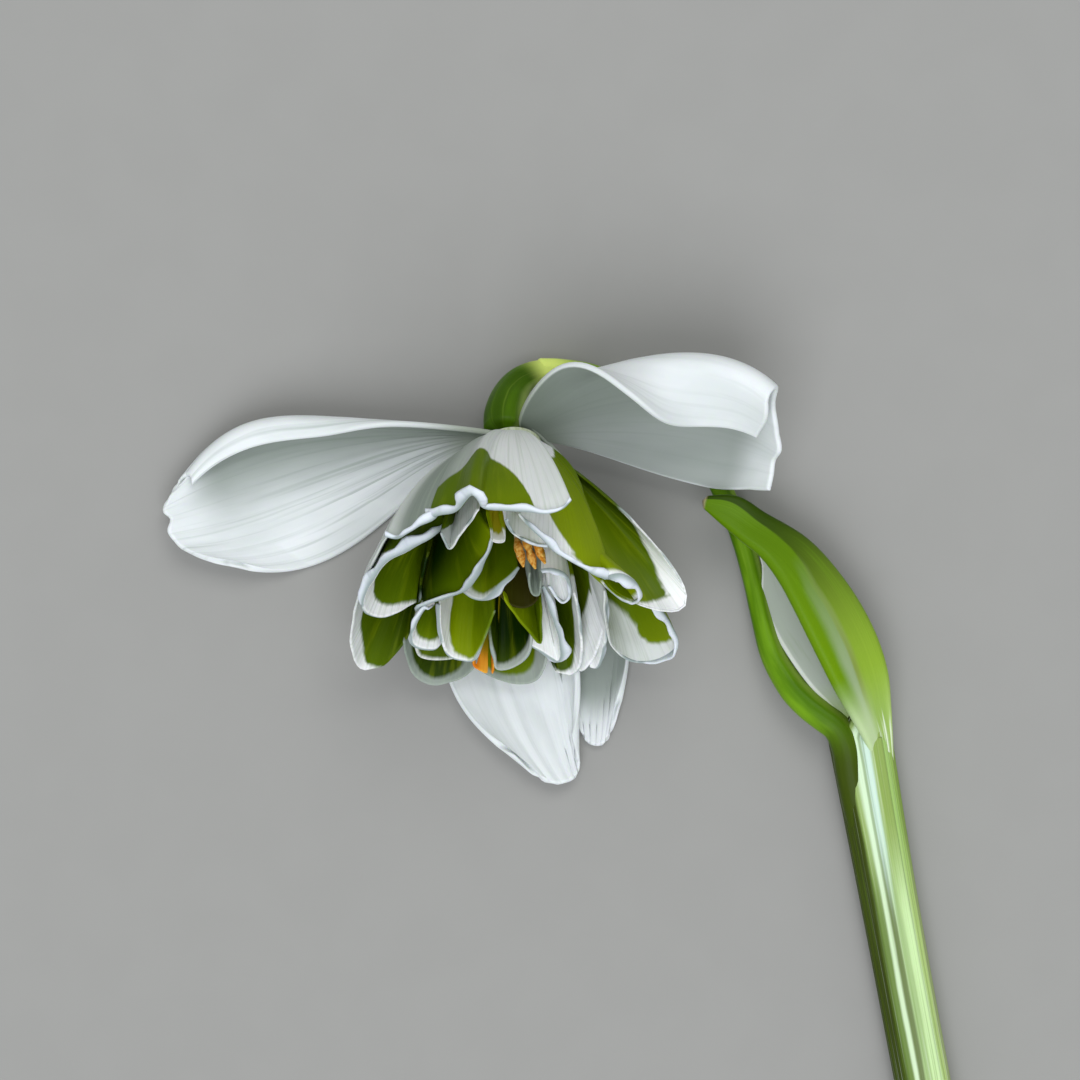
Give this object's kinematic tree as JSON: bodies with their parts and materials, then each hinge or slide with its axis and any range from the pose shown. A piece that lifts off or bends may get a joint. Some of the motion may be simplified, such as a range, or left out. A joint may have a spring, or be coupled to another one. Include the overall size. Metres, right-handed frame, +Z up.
{
  "type": "snowdrop",
  "caption": "Picked double snowdrop lying on a surface, its bloom looking up, with white outer tepals, green-marked inner ones, a split spathe and a ribbed stalk.",
  "frame": {"origin": "middle of the flower's footprint, on the surface that it lies on", "axes": "+Z up from the surface, +Y from the cut end of the stalk towards the bloom, +X to the side that the spathe is on"},
  "size_m": [0.0729, 0.106, 0.0251],
  "materials": {
    "stalk_green": "smooth waxy green stalk, lightly ribbed",
    "sheath_green": "green keels with thin pale membrane between",
    "tepal_white": "soft white petal tissue with faint lengthwise veins",
    "tepal_marked": "green marks on white petal tissue",
    "anther_orange": "dull orange pollen"
  },
  "bodies": {
    "root": {"scape": "stalk_green", "pedicel": "stalk_green", "ovary": "stalk_green", "spathe": "sheath_green", "outer_tepal_left": "tepal_white", "outer_tepal_right": "tepal_white", "outer_tepal_back": "tepal_white", "outer_tepal_back_right": "tepal_white", "inner_tepals": "tepal_marked", "stamens": "anther_orange"}
  },
  "joints": []
}
